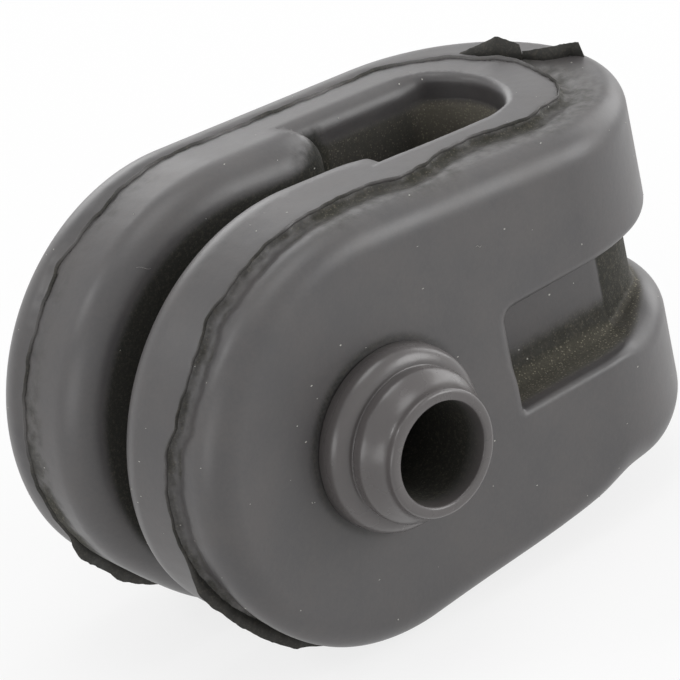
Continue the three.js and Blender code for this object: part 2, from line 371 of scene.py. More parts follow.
def strap_channel(x, z, side, depth, s):
    """Below nought in the air of the strap recess and of the groove round the nose."""
    web = s.half_thickness - s.recess_depth
    leaning = (side - web) * math.cos(s.core_slant) + (x - s.recess_end) * math.sin(s.core_slant)
    core = both(depth - s.groove_radius, leaning, s.core_round)
    core = both(core, side - web, s.core_edge)
    swell = upward(z, s.swell_bottom, s.swell_top) * step_mm(*SWELL_RANGE, x)
    walls = np.abs(z) - s.strap_width / 2 + swell
    hollow = mix(s.floor_round, s.groove_round, step_mm(*HOLLOW_RANGE, x))
    corner = upward(z, s.recess_corner_low, s.recess_corner)
    return both(both(walls, s.recess_start - x, corner), -core, hollow)


BORE_MARGIN = 0.15 * MM  # how far the body's bore lies outside the lining that the collars bring


def body_shape(place, s):
    """Below nought in the rubber of the moulded body."""
    x, y, z = place[..., 0], place[..., 1], place[..., 2]
    side = np.abs(y)
    reach = flank_reach(x, z, s.taper)
    depth = nose_depth(x, y, s)
    line = s.parting_depth + wander(x, y, z, s)
    level = s.rim_radius - rim_drop(depth, line, s) - low_dip(x, y, z)

    round_at_nose = np.where(z > 0, s.nose_round_top, s.nose_round_bottom)
    ahead = np.clip((x - nose_axis(s)) / np.maximum(depth, MM), 0.0, 1.0) ** 2
    edge = s.edge_round - s.flank_ease * bump_mm(x, *FLANK_EASE_PLACE) * (z < 0) + s.back_ease * (y > 0)
    edge = mix(edge, round_at_nose, ahead)
    edge = edge + s.nose_corner * bump_mm(x, *NOSE_CORNER_PLACE) * (z < 0)
    pads, rest = slot_walls(x, y, s)
    pocket_lip = s.pocket_lip * (1 - POCKET_LIP_LOSS * step_mm(*POCKET_LIP_RANGE, x))
    rim = np.minimum(both(reach - level, pads, s.pad_lip), both(reach - level, rest, pocket_lip))
    block = both(rim, depth - s.half_thickness, edge)

    mouth = mix(s.mouth_round_low, s.mouth_round, step_mm(-3, 0, z))
    groove_mouth = upward(z, s.groove_mouth_bottom, s.groove_mouth_top)
    mouth = mix(mouth, groove_mouth, step_mm(*MOUTH_RANGE, x))
    block = both(block, -strap_channel(x, z, side, depth, s), mouth)
    return np.maximum(block, s.bore / 2 + BORE_MARGIN - np.hypot(x, z))


def slope_of(shape, place, reach=0.02 * MM):
    """Direction in which the shape's value grows fastest, and how fast."""
    slope = np.empty_like(place)
    for axis in range(3):
        offset = np.zeros(3)
        offset[axis] = reach
        slope[..., axis] = (shape(place + offset) - shape(place - offset)) / (2 * reach)
    return slope


def cell_points(value, active):
    """Mean point of the crossings on the twelve edges of each active cell, in cells."""
    cells = np.argwhere(active)
    total = np.zeros((len(cells), 3))
    number = np.zeros(len(cells))
    for axis in range(3):
        step = np.eye(3, dtype=int)[axis]
        others = [k for k in range(3) if k != axis]
        for first in (0, 1):
            for second in (0, 1):
                start = cells.copy()
                start[:, others[0]] += first
                start[:, others[1]] += second
                a = value[tuple(start.T)]
                b = value[tuple((start + step).T)]
                crossed = (a < 0) != (b < 0)
                share_of_edge = a[crossed] / (a[crossed] - b[crossed])
                total[crossed] += start[crossed] + share_of_edge[:, None] * step
                number[crossed] += 1
    return total / number[:, None]


def skin(shape, low, high, cell):
    """Closed mesh of square faces on the surface where the shape is nought."""
    margin = 2 * cell
    axes = [np.arange(a - margin, b + margin + cell, cell) for a, b in zip(low, high)]
    value = shape(np.stack(np.meshgrid(*axes, indexing="ij"), axis=-1))
    inside = value < 0
    corners = sum(
        inside[i:inside.shape[0] - 1 + i, j:inside.shape[1] - 1 + j, k:inside.shape[2] - 1 + k].astype(int)
        for i in (0, 1) for j in (0, 1) for k in (0, 1)
    )
    active = (corners > 0) & (corners < 8)
    number = np.full(active.shape, -1)
    number[active] = np.arange(active.sum())
    start = np.array([axis[0] for axis in axes])
    points = start + cell * cell_points(value, active)
    for _ in range(4):
        slope = slope_of(shape, points)
        step = shape(points)[:, None] * slope / np.maximum((slope ** 2).sum(axis=1), 0.1)[:, None]
        size = np.linalg.norm(step, axis=1, keepdims=True)
        points = points - step * np.minimum(1.0, 0.5 * cell / np.maximum(size, 1e-12))

    faces = []
    for axis in range(3):
        b, c = (axis + 1) % 3, (axis + 2) % 3
        first = np.take(inside, range(inside.shape[axis] - 1), axis)
        second = np.take(inside, range(1, inside.shape[axis]), axis)
        edges = np.argwhere(first != second)
        leaving = first[tuple(edges.T)]
        step_b, step_c = np.eye(3, dtype=int)[b], np.eye(3, dtype=int)[c]
        ring = [edges - step_b - step_c, edges - step_c, edges, edges - step_b]
        quad = np.stack([number[tuple(cells.T)] for cells in ring], axis=1)
        faces.append(np.where(leaving[:, None], quad, quad[:, ::-1]))
    return points, np.concatenate(faces)


# Making and finishing of pieces

def new_piece(name, points, faces, material, normals=None):
    """A finished piece at the origin, made of points and faces."""
    mesh = bpy.data.meshes.new(name)
    mesh.from_pydata(np.asarray(points).tolist(), [], [[int(k) for k in face] for face in faces])
    mesh.update()
    keep_in_box(mesh)
    mesh.shade_smooth()
    if normals is not None:
        mesh.normals_split_custom_set_from_vertices(normals.tolist())
    mesh.materials.append(material)
    return declare(bpy.data.objects.new(name, mesh))


def declare(piece):
    """A piece rides on the one body and stands in place of its plain solid."""
    if not piece.users_collection:
        bpy.context.scene.collection.objects.link(piece)
    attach(piece, "root")
    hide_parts(NODE)
    return piece


def store(mesh, name, values):
    """Keeps a number or a direction for each point of a mesh."""
    flat = np.ascontiguousarray(values, dtype=np.float32)
    kind, key = ("FLOAT", "value") if flat.ndim == 1 else ("FLOAT_VECTOR", "vector")
    mesh.attributes.new(name, kind, "POINT").data.foreach_set(key, flat.ravel())


def keep_in_box(mesh):
    """Flash and dust reach no further than the solid does."""
    flat = np.empty(3 * len(mesh.vertices), dtype=np.float32)
    mesh.vertices.foreach_get("co", flat)
    places = flat.reshape(-1, 3).clip(np.array(LOW), np.array(HIGH))
    mesh.vertices.foreach_set("co", places.astype(np.float32).ravel())
    mesh.update()


def grown(name, mesh, tree, values):
    """The plain mesh that a node tree makes out of another mesh, as a finished piece."""
    piece = bpy.data.objects.new(name, mesh)
    bpy.context.scene.collection.objects.link(piece)
    modifier = piece.modifiers.new(name, "NODES")
    modifier.node_group = tree
    for item in tree.interface.items_tree:
        if item.in_out == "INPUT" and item.name in values:
            modifier[item.identifier] = values[item.name]
    depsgraph = bpy.context.evaluated_depsgraph_get()
    result = bpy.data.meshes.new_from_object(piece.evaluated_get(depsgraph))
    piece.modifiers.clear()
    keep_in_box(result)
    piece.data = result
    return declare(piece)


# Nodes

def node(tree, kind, inputs=None, **settings):
    """A new node with these settings, its inputs set or linked."""
    made = tree.nodes.new(kind)
    for key, value in settings.items():
        setattr(made, key, value)
    for key, value in (inputs or {}).items():
        socket = made.inputs[key]
        if isinstance(value, bpy.types.NodeSocket):
            tree.links.new(value, socket)
        else:
            socket.default_value = value
    return made


def result(tree, kind, inputs=None, **settings):
    """The first output of a new node."""
    return node(tree, kind, inputs, **settings).outputs[0]


def ramp(tree, value, low, high, out_low=0.0, out_high=1.0):
    """Value taken from one range to another, and held at its ends."""
    inputs = {"Value": value, "From Min": low, "From Max": high, "To Min": out_low, "To Max": out_high}
    return result(tree, "ShaderNodeMapRange", inputs)


def blend(tree, factor, first, second):
    """One colour laid over another."""
    return node(tree, "ShaderNodeMix", {0: factor, 6: first, 7: second}, data_type="RGBA").outputs[2]


def math_node(tree, operation, first, second):
    return result(tree, "ShaderNodeMath", {0: first, 1: second}, operation=operation)


def times(tree, first, second):
    return math_node(tree, "MULTIPLY", first, second)


def noise(tree, place, scale, detail=3.0, roughness=0.55):
    inputs = {"Vector": place, "Scale": scale, "Detail": detail, "Roughness": roughness}
    return node(tree, "ShaderNodeTexNoise", inputs).outputs["Fac"]


def specks(tree, place, scale, size, share_of_cells):
    """Round specks in some of the cells of a random pattern."""
    cells = node(tree, "ShaderNodeTexVoronoi", {"Vector": place, "Scale": scale})
    dot = ramp(tree, cells.outputs["Distance"], size, size * 0.6)
    chance = result(tree, "ShaderNodeSeparateColor", {"Color": cells.outputs["Color"]})
    return times(tree, dot, ramp(tree, chance, 1 - share_of_cells, 1.0))


def new_material(name):
    """An empty material and its node tree."""
    material = bpy.data.materials.new(name)
    material.use_nodes = True
    material.node_tree.nodes.clear()
    return material, material.node_tree


# Rubber and lint

# Uneven patterns: waves on each metre, detail and roughness
PATCHES, CLOTS, MOTTLE = (150.0, 5.0, 0.6), (700.0, 3.0, 0.55), (2100.0, 4.0, 0.7)
SWELL, GRAIN = (240.0, 2.0), (2600.0, 3.0, 0.6)
# Specks of earth: cells on each metre, size in a cell, and the share of cells that hold one
FINE_SPECKS, COARSE_SPECKS = (3600.0, 0.36, 0.95), (1900.0, 0.27, 0.35)
# The dirt edges that the clots move include painted shade beside the parting line.
STRAY = 1.7  # how far clots move the edge of the dirt
DUST_FILM = 0.2


def relief(tree, place, lumps):
    """Soft swelling, lumps of dirt and a fine grain, laid over each other."""
    swell, grain = noise(tree, place, *SWELL), noise(tree, place, *GRAIN)
    inputs = {}
    for height, strength, depth in ((swell, 0.18, 0.4), (lumps, 0.5, 0.15), (grain, 0.25, 0.04)):
        inputs |= {"Height": height, "Strength": strength, "Distance": depth * MM}
        inputs["Normal"] = result(tree, "ShaderNodeBump", inputs)
    return inputs["Normal"]


def rubber_material(finish):
    """Semi-gloss moulded rubber with grime, painted shade and dust where the mesh's attributes call for
    them.
    """
    if "moulded_rubber" in bpy.data.materials:
        return bpy.data.materials["moulded_rubber"]
    material, tree = new_material("moulded_rubber")
    place = node(tree, "ShaderNodeTexCoord").outputs["Object"]
    grime, dust, crumbs, polish = (
        node(tree, "ShaderNodeAttribute", attribute_name=name).outputs["Fac"]
        for name in ("grime", "dust", "crumbs", "polish")
    )

    patches, clots, mottle = (noise(tree, place, *each) for each in (PATCHES, CLOTS, MOTTLE))
    uneven = math_node(tree, "ADD", times(tree, patches, 0.62), times(tree, mottle, 0.38))
    clean = blend(tree, ramp(tree, uneven, 0.4, 0.62), finish.rubber, finish.worn)
    clean = blend(tree, times(tree, polish, 0.6), clean, finish.rubbed)
    # The dark mask paints dirt and shade alike.
    unsure = times(tree, grime, math_node(tree, "SUBTRACT", 1.0, grime))
    stray = times(tree, times(tree, unsure, crumbs), ramp(tree, clots, 0.32, 0.68, -STRAY, STRAY))
    ragged = ramp(tree, math_node(tree, "ADD", grime, stray), 0.02, 0.98)
    dirt_and_shade = blend(tree, ramp(tree, mottle, 0.5, 0.72), finish.grime, finish.soil)
    dirty_and_shaded = blend(tree, ragged, clean, dirt_and_shade)
    # The dust film also paints light onto the pocket's end wall.
    film = blend(tree, times(tree, dust, DUST_FILM), dirty_and_shaded, finish.dust)
    fine, coarse = (specks(tree, place, *each) for each in (FINE_SPECKS, COARSE_SPECKS))
    earth = times(tree, math_node(tree, "MAXIMUM", fine, coarse), dust)

    dull = math_node(tree, "MAXIMUM", ragged, dust)
    gloss = ramp(tree, patches, 0.3, 0.8, finish.gloss - 0.04, finish.gloss + 0.08)
    gloss = math_node(tree, "SUBTRACT", gloss, times(tree, polish, 0.17))
    lumps = times(tree, mottle, math_node(tree, "ADD", dull, 0.12))
    shader = result(
        tree, "ShaderNodeBsdfPrincipled",
        {"Base Color": blend(tree, earth, film, finish.dust),
         "Roughness": result(tree, "ShaderNodeMix", {0: dull, 2: gloss, 3: 0.95}, data_type="FLOAT"),
         "Normal": relief(tree, place, lumps),
         "Coat Weight": ramp(tree, dull, 0.0, 1.0, finish.skin, 0.0), "Coat Roughness": 0.36},
    )
    node(tree, "ShaderNodeOutputMaterial", {"Surface": shader})
    return material


def lint_material(finish):
    """Dull pale fluff, a little uneven."""
    material, tree = new_material("pale_lint")
    place = node(tree, "ShaderNodeTexCoord").outputs["Object"]
    pale = tuple(finish.lint)
    brown = tuple(0.6 * part for part in pale[:3]) + (1.0,)
    colour = blend(tree, ramp(tree, noise(tree, place, 300.0), 0.35, 0.65), brown, pale)
    shader = result(tree, "ShaderNodeBsdfPrincipled", {"Base Color": colour, "Roughness": 0.9})
    node(tree, "ShaderNodeOutputMaterial", {"Surface": shader})
    return material


# Body

# Grime and painted shade, and dust with painted light on the pocket's end wall, in each kind of place
GRIME_AND_SHADE = {
    "slot": 0.94, "pocket": 0.77, "end_wall": 0.02, "pad_tip": 0.9, "low_floor": 0.9,
    "ledge": 0.82, "outer_ledge": 0.54, "core": 0.9, "near_web": 0.12, "most": 0.97,
    "collar_foot": 0.3, "shaded_upper_foot": 0.85,
}
# The end wall's dust runs far above the rest, and most lets it through, to paint light onto that shaded
# wall over its real dust.
DUST_AND_PAINTED_LIGHT = {
    "slot": 0.12, "pocket": 0.52, "end_wall": 2.92, "low_floor": 0.3, "core": 0.25,
    "near_web": -0.1, "line": 0.35, "most": 2.8,
}
# Dirt and painted shade beside the parting line: on the flank, at the round end and, for the band, at the
# nose
BAND, FILM, FRONT_LINE, SECOND_LINE = (0.6, 0.12, 0.2), (0.34, 0.06), 0.7, 0.5
BACK_LINE, BACK_INNER, BACK_LOW_LEFT = 0.5, 0.14, 1.1


def grime_and_shade_of(points, normals, s):
    """Dark dirt and painted shade, earth-coloured dust with painted light on the pocket's end wall, and
    raggedness of the dirt at each point of the body.
    """
    x, y, z = points.T
    depth = nose_depth(x, y, s)
    below_rim = s.rim_radius - flank_reach(x, z, s.taper)
    on_rim = step_mm(4.5, 1.5, below_rim)
    past = depth - s.parting_depth - wander(x, y, z, s)
    dirt_and_shade = beside_line(x, y, z, past, s) * on_rim
    slot_grime_and_shade, slot_dust, in_slot = slot_dirt_and_shade(x, y, z, below_rim, s)
    recess_grime_and_shade, recess_dust, in_recess = recess_dirt_and_shade(x, y, z, depth, normals[:, 2], s)
    # Painted contact shadow and dirt round each collar's foot, darkest on its upper-left, shaded side.
    foot = bump_mm(np.hypot(x, z), 10.1, 0.5) * (depth > s.half_thickness - 0.3 * MM)
    foot = foot * mix(GRIME_AND_SHADE["collar_foot"], GRIME_AND_SHADE["shaded_upper_foot"], bump(angle_round(x, z), 130, 60))
    grime = np.clip(dirt_and_shade + slot_grime_and_shade + recess_grime_and_shade + foot, 0.0, 1.0)
    dust = np.clip(recess_dust + slot_dust + DUST_AND_PAINTED_LIGHT["line"] * dirt_and_shade, 0.0, DUST_AND_PAINTED_LIGHT["most"])
    crumbs = np.clip(0.7 * on_rim + 0.3 * in_recess - in_slot, 0.1, 1.0)
    return grime, dust, crumbs


def slot_dirt_and_shade(x, y, z, below_rim, s):
    """Grime and painted shade in the slot and its pocket, dust there with painted light on the pocket's
    end wall, and where those are.
    """
    wall = np.minimum(*slot_walls(x, y, s))
    # Painted shade and dirt: inside the slot's walls the rubber darkens from 2.7 mm below the rim, fully
    # by 3.7 mm.
    in_slot = step_mm(-0.9, -0.3, wall) * step_mm(2.7, 3.7, below_rim)
    in_pocket = step_mm(15, 17, x)
    # Painted light and dust: the pocket's end wall gets a heavy pale dust film and hardly any grime.
    end_wall = step_mm(27, 30, x) * step_mm(12, 3, below_rim)
    pad_tip = step_mm(8, 13, x) * step_mm(17, 15.5, x) * (z > 0)
    pad_tip = pad_tip * step_mm(0.6, 2.2, below_rim) * step_mm(-3, -1.2, wall)
    grime, dust = (
        in_slot * mix(mix(level["slot"], level["pocket"], in_pocket), level["end_wall"], end_wall)
        for level in (GRIME_AND_SHADE, DUST_AND_PAINTED_LIGHT)
    )
    return grime + GRIME_AND_SHADE["pad_tip"] * pad_tip, dust, in_slot


def recess_dirt_and_shade(x, y, z, depth, upward_part, s):
    """Grime and dust in the strap recess and the nose groove, with painted shade on the core's side, and
    where those are.
    """
    beyond_web = step_mm(-0.3, 0.1, x - s.recess_end)
    near_web = beyond_web * step_mm(4.5, 0.5, x - s.recess_end)
    ledge = smooth_step(0.35, 0.85, upward_part)
    low_floor = step_mm(-1.4, -3.6, z) * (1 - beyond_web)
    in_recess = step_mm(0.35, 0.05, strap_channel(x, z, np.abs(y), depth, s))
    in_recess = in_recess * step_mm(-1.1, -2.6, depth - s.half_thickness)
    # Painted shade as well as dirt: the core's side beyond the web is painted nearly black.
    core_side = (GRIME_AND_SHADE["core"] * beyond_web + GRIME_AND_SHADE["near_web"] * near_web) * (1 - ledge)
    grime = ledge * mix(GRIME_AND_SHADE["ledge"], GRIME_AND_SHADE["outer_ledge"], beyond_web) + core_side
    grime = in_recess * np.clip(grime + GRIME_AND_SHADE["low_floor"] * low_floor, 0, GRIME_AND_SHADE["most"])
    dust = ledge + DUST_AND_PAINTED_LIGHT["core"] * beyond_web + DUST_AND_PAINTED_LIGHT["near_web"] * near_web
    return grime, in_recess * (dust + DUST_AND_PAINTED_LIGHT["low_floor"] * low_floor), in_recess


def beside_line(x, y, z, past, s):
    """Dirt along the parting line, with painted shade below its step, by the distance past it."""
    angle = angle_round(x, z)
    round_end = step_mm(2, -4, x)
    at_nose = step_mm(0, 4, x - nose_axis(s))
    along = np.where(x < 0, np.radians(angle) * s.rim_radius, x) / MM
    uneven = 0.75 + 0.25 * np.sin(0.8 * along) * np.sin(0.33 * along + 1.0)
    line = bump_mm(past, 0.15, 0.3) * uneven
    second = bump_mm(past, 1.25, 0.22) * round_end * smooth_step(0.7, 0.95, uneven)
    band = step_mm(0.1, 0.5, past) * step_mm(1.9, 0.9, past) * uneven
    band = band * mix(mix(BAND[0], BAND[1], round_end), BAND[2], at_nose)
    film = step_mm(-0.2, 0.4, past) * step_mm(6, 1.5, past) * mix(*FILM, round_end)
    front = FRONT_LINE * line + SECOND_LINE * second + band + film
    # Painted shadow and dirt on the back rim just inside the flash, strongest at the lower left.
    inner = step_mm(-3.4, -1.3, past) * step_mm(0.3, -0.3, past) * round_end * uneven
    back = BACK_LINE * line + (BACK_INNER + BACK_LOW_LEFT * bump(angle, 198, 26)) * inner
    return np.where(y > 2 * MM, back, front) * np.where(z > 0, 1.0, 0.6 + 0.4 * (x < 0))


class HANGER_OT_body(bpy.types.Operator):
    """Build the moulded body with its slot, pocket, strap recess and nose groove"""

    bl_idname = "hanger.body"
    bl_label = "Rubber Body"

    def execute(self, context):
        s = context.scene.hanger_body
        shape = lambda place: body_shape(place, s)
        points, faces = skin(shape, LOW, HIGH, s.mesh_cell)
        normals = slope_of(shape, points)
        normals /= np.linalg.norm(normals, axis=1, keepdims=True)
        material = rubber_material(context.scene.hanger_finish)
        piece = new_piece("rubber_body", points, faces, material, normals)
        for name, values in zip(("grime", "dust", "crumbs"), grime_and_shade_of(points, normals, s)):
            store(piece.data, name, values)
        return {"FINISHED"}


# Flash along the parting line

def parting_route(s):
    """Closed, even route of the parting line, and the way out of the rubber along it."""
    axis = nose_axis(s)
    level = s.rim_radius - RIM_SLOPE
    step = s.mesh_cell
    straight = np.arange(level * math.sin(s.taper) + step, axis, step)
    turn = np.arange(math.pi / 2 - s.taper, 1.5 * math.pi + s.taper, step / level)
    half_turn = np.arange(-math.pi / 2, math.pi / 2, step / s.parting_depth)

    def flank(x, y, up):
        z = up * (level - x * math.sin(s.taper)) / math.cos(s.taper)
        way = np.broadcast_to((math.sin(s.taper), 0.0, up * math.cos(s.taper)), (len(x), 3))
        return np.stack([x, y + 0 * x, z], axis=1), way

    def cheek(side):
        way = np.stack([np.cos(turn), 0 * turn, np.sin(turn)], axis=1)
        bend = level * way + (0, side * s.parting_depth, 0)
        parts = [flank(straight[::-1], side * s.parting_depth, 1), (bend, way),
                 flank(straight, side * s.parting_depth, -1)]
        return [np.concatenate(each) for each in zip(*parts)]

    def nose(up):
        return flank(axis + s.parting_depth * np.cos(half_turn), s.parting_depth * np.sin(half_turn), up)

    front, back, above, below = cheek(-1), cheek(1), nose(1), nose(-1)
    order = [(front, -1), (above, 1), (back, 1), (below, -1)]
    return [np.concatenate([part[k][::way] for part, way in order]) for k in (0, 1)]


def astray(points, s):
    """The route with the parting line's wandering laid over it."""
    x, y, z = points.T
    axis = nose_axis(s)
    depth = s.parting_depth + wander(x, y, z, s)
    turn = np.arctan2(y, x - axis)
    on_nose = x > axis
    new_x = np.where(on_nose, axis + depth * np.cos(turn), x)
    new_y = np.where(on_nose, depth * np.sin(turn), np.sign(y) * depth)
    shift = (new_x - x) * math.tan(s.taper)
    shrink = 1 - low_dip(x, y, z) / s.rim_radius
    return np.stack([new_x * shrink, new_y, (z - np.sign(z) * shift) * shrink], axis=1)


# Height of the fin on the back and the front cheek, and the angles where it starts, is full,
# shrinks and ends, in degrees round the bore
FINS = {1: (0.95 * MM, 202, 213, 232, 245), -1: (1.05 * MM, 192, 203, 230, 255)}
NOSE_RISE = 0.15 * MM  # extra height of the flash beside the torn flaps
FLASH_LEAN = 0.25
# Painted shade and dirt on the fins, and dust on the flash
FIN_DIRT_AND_SHADE, FLASH_DUST = 0.75, 0.15
# Painted shade on the torn flaps, and their dust
FLAP_SHADE, FLAP_DUST = 0.8, 0.1


def flash_rise(points, s, f):
    """Usual height of the flash, and the taller fins that the mould left."""
    x, y, z = points.T
    angle = angle_round(x, z)
    rise = f.height
    for side, (height, start, full, shrinking, end) in FINS.items():
        fin = smooth_step(start, full, angle) * smooth_step(end, shrinking, angle)
        rise = rise + height * fin * (x < 12 * MM) * (z < 0) * (np.sign(y) == side)
    above_nose = (x > nose_axis(s)) & (z > 0)
    return rise + NOSE_RISE * bump(np.degrees(np.arctan2(y, x - nose_axis(s))), 20, 16) * above_nose


def flash_way(points, ways, s):
    """The flash stands out of the rim and leans a little away from the slot."""
    x, y, z = points.T
    outward = np.stack([np.clip(x - nose_axis(s), 0, None), y, 0 * z], axis=1)
    outward /= np.linalg.norm(outward, axis=1, keepdims=True)
    way = ways + FLASH_LEAN * outward
    return way / np.linalg.norm(way, axis=1, keepdims=True)


# Node trees that make geometry

def new_tree(name, inputs):
    """An empty node tree that takes and gives geometry, with named numbers as inputs."""
    tree = bpy.data.node_groups.new(name, "GeometryNodeTree")
    tree.interface.new_socket("Geometry", in_out="INPUT", socket_type="NodeSocketGeometry")
    for label, default in inputs.items():
        kind = "NodeSocketInt" if isinstance(default, int) else "NodeSocketFloat"
        tree.interface.new_socket(label, in_out="INPUT", socket_type=kind).default_value = default
    tree.interface.new_socket("Geometry", in_out="OUTPUT", socket_type="NodeSocketGeometry")
    return tree, tree.nodes.new("NodeGroupInput").outputs


def finish_tree(tree, geometry, material):
    """Ends a tree: its instances become real, and it gets its material."""
    whole = result(tree, "GeometryNodeRealizeInstances", {"Geometry": geometry})
    painted = result(tree, "GeometryNodeSetMaterial", {"Geometry": whole, "Material": material})
    tree.links.new(painted, tree.nodes.new("NodeGroupOutput").inputs[0])
    return tree


def named(tree, name, kind="FLOAT"):
    """A number or a direction that is kept on the mesh."""
    return result(tree, "GeometryNodeInputNamedAttribute", {"Name": name}, data_type=kind)


def vector_math(tree, operation, first, second):
    inputs = {0: first, ("Scale" if operation == "SCALE" else 1): second}
    return result(tree, "ShaderNodeVectorMath", inputs, operation=operation)


FLASH_ROOT = 0.4 * MM  # how deep the flash's foot sits in the rubber


def flash_tree(material):
    """A thin wedge swept along a route; its tip is drawn out as far as the route's rise says."""
    tree, given = new_tree("flash_on_parting_line", {"Width": 0.3 * MM, "Ragged": 0.6, "Seed": 4})
    outward = named(tree, "outward", "FLOAT_VECTOR")
    curve = result(tree, "GeometryNodeMeshToCurve", {"Mesh": given["Geometry"]})
    curve = result(tree, "GeometryNodeSetCurveNormal", {"Curve": curve, "Normal": outward}, mode="FREE")
    foot = result(tree, "ShaderNodeCombineXYZ", {0: -FLASH_ROOT, 1: given["Width"]})
    ways = (1.0, -1.0, 1.0), (-0.05, -0.25, 1.0), (-0.05, 0.25, 1.0)
    corners = [foot] + [vector_math(tree, "MULTIPLY", foot, way) for way in ways]
    section = result(
        tree, "GeometryNodeCurvePrimitiveQuadrilateral",
        {f"Point {i + 1}": corner for i, corner in enumerate(corners)}, mode="POINTS",
    )
    place = result(tree, "GeometryNodeInputPosition")
    height = result(tree, "ShaderNodeSeparateXYZ", {0: place})
    is_tip = result(tree, "FunctionNodeCompare", {0: height, 1: 0.0}, operation="GREATER_THAN")
    section = result(
        tree, "GeometryNodeStoreNamedAttribute", {"Geometry": section, "Name": "tip", "Value": is_tip},
        data_type="FLOAT", domain="POINT",
    )
    swept = result(tree, "GeometryNodeCurveToMesh", {"Curve": curve, "Profile Curve": section})

    tatter = result(
        tree, "ShaderNodeTexNoise",
        {"Vector": place, "W": given["Seed"], "Scale": 260.0, "Detail": 5.0, "Roughness": 0.55},
        noise_dimensions="4D",
    )
    stray = times(tree, math_node(tree, "SUBTRACT", tatter, 0.5), given["Ragged"])
    factor = math_node(tree, "ADD", times(tree, stray, 3.2), 1.0)
    rise = times(tree, named(tree, "rise"), math_node(tree, "MAXIMUM", factor, 0.2))
    offset = vector_math(tree, "SCALE", outward, times(tree, rise, named(tree, "tip")))
    drawn = result(tree, "GeometryNodeSetPosition", {"Geometry": swept, "Offset": offset})
    return finish_tree(tree, drawn, material)


TEAR = 0.02 * MM  # how much the torn edge jags


def torn_sheet(foot, top, thickness, seed):
    """Points and faces of a thin torn flap that stands on one line and ends in another."""
    count = 24
    along = np.linspace(0, 1, count)
    ragged = np.random.default_rng(seed).normal(0, TEAR, (count, 3))

    def line(corners):
        corners = np.array(corners) * MM
        spread = np.linspace(0, 1, len(corners))
        return np.stack([np.interp(along, spread, corners[:, k]) for k in range(3)], axis=1)

    low, high = line(foot), line(top) + ragged
    rows = [low + (high - low) * t for t in (0.0, 0.5, 1.0)]
    across = np.cross(low[-1] - low[0], high[count // 2] - low[count // 2])
    across *= thickness / np.linalg.norm(across)
    rings = [rows[0] + across, rows[1] + 0.8 * across, rows[2] + 0.3 * across,
             rows[2] - 0.3 * across, rows[1] - 0.8 * across, rows[0] - across]
    points = np.concatenate(rings)
    faces = []
    for i in range(len(rings)):
        j = (i + 1) % len(rings)
        for k in range(count - 1):
            faces.append((i * count + k, i * count + k + 1, j * count + k + 1, j * count + k))
    faces.append([i * count for i in range(len(rings))])
    faces.append([i * count + count - 1 for i in reversed(range(len(rings)))])
    return points, faces


# Foot and top of the two flaps, in mm from the bore's middle
PEAK_FOOT = (
    (37.0, 9.2, 18.9), (38.0, 7.4, 18.8), (38.5, 5.2, 18.7), (39.5, 3.4, 18.6), (40.4, 2.3, 18.5),
)
PEAK_TOP = (
    (37.7, 9.0, 19.2), (38.9, 7.5, 19.9), (39.6, 5.1, 21.2), (40.2, 4.0, 20.7), (40.7, 2.9, 20.3),
)
FLAP_FOOT = (
    (40.5, 2.6, 18.5), (41.2, 0.4, 18.4), (42.3, -0.4, 18.3), (43.9, -0.8, 18.1), (44.7, -2.4, 17.9),
)
FLAP_TOP = (
    (40.5, 2.4, 19.7), (42.0, 0.3, 20.0), (43.3, -0.6, 20.0), (44.1, -1.3, 20.0), (44.6, -1.9, 20.0),
)


class HANGER_OT_flaps(bpy.types.Operator):
    """Build the two torn flaps of flash over the nose"""

    bl_idname = "hanger.flaps"
    bl_label = "Torn Flaps"

    def execute(self, context):
        f = context.scene.hanger_flash
        material = rubber_material(context.scene.hanger_finish)
        for name, foot, top in (("flap_peak", PEAK_FOOT, PEAK_TOP), ("flap_loose", FLAP_FOOT, FLAP_TOP)):
            points, faces = torn_sheet(foot, top, 0.6 * f.width, f.seed)
            piece = new_piece(name, points, faces, material)
            # The flaps are painted dark as rubber in shade.
            store(piece.data, "grime", np.full(len(points), FLAP_SHADE))
            store(piece.data, "dust", np.full(len(points), FLAP_DUST))
        return {"FINISHED"}


class HANGER_OT_flash(bpy.types.Operator):
    """Build the ragged flash along the parting line, with its two fins"""

    bl_idname = "hanger.flash"
    bl_label = "Flash"

    def execute(self, context):
        s, f = context.scene.hanger_body, context.scene.hanger_flash
        route, ways = parting_route(s)
        mesh = bpy.data.meshes.new("parting_route")
        count = len(route)
        loop = [(i, (i + 1) % count) for i in range(count)]
        mesh.from_pydata(astray(route, s).tolist(), loop, [])
        store(mesh, "rise", flash_rise(route, s, f))
        store(mesh, "outward", flash_way(route, ways, s))
        tree = flash_tree(rubber_material(context.scene.hanger_finish))
        values = {"Width": f.width / 2, "Ragged": f.ragged, "Seed": f.seed}
        piece = grown("flash", mesh, tree, values)
        x, y, z = np.array([v.co for v in piece.data.vertices]).T / MM
        # The flash is painted darker, unevenly along its length, for dirt and shade; the fins under the
        # round ends darkest, for shade as well as dirt.
        fin = smooth_step(-4, -9, z) * (x < 0)
        stretch = 0.45 + 0.35 * np.sin(0.55 * x + 0.4 * z + 0.3 * y)
        store(piece.data, "grime", mix(stretch, FIN_DIRT_AND_SHADE, fin))
        store(piece.data, "dust", np.full(len(x), FLASH_DUST))
        return {"FINISHED"}


# Collars

DISC_SIDE = 1.6 * MM  # height of the disc's upright side
SUNK = 1.0 * MM  # how far a collar's foot goes into the body
LINING_GAP = 0.4 * MM  # from the slot's wall to the end of the bore's lining


def quarter_turn(first, count):
    """Angles of a quarter turn, from this share of it on."""
    return [t * math.pi / 2 for t in np.linspace(first, 1.0, count)]


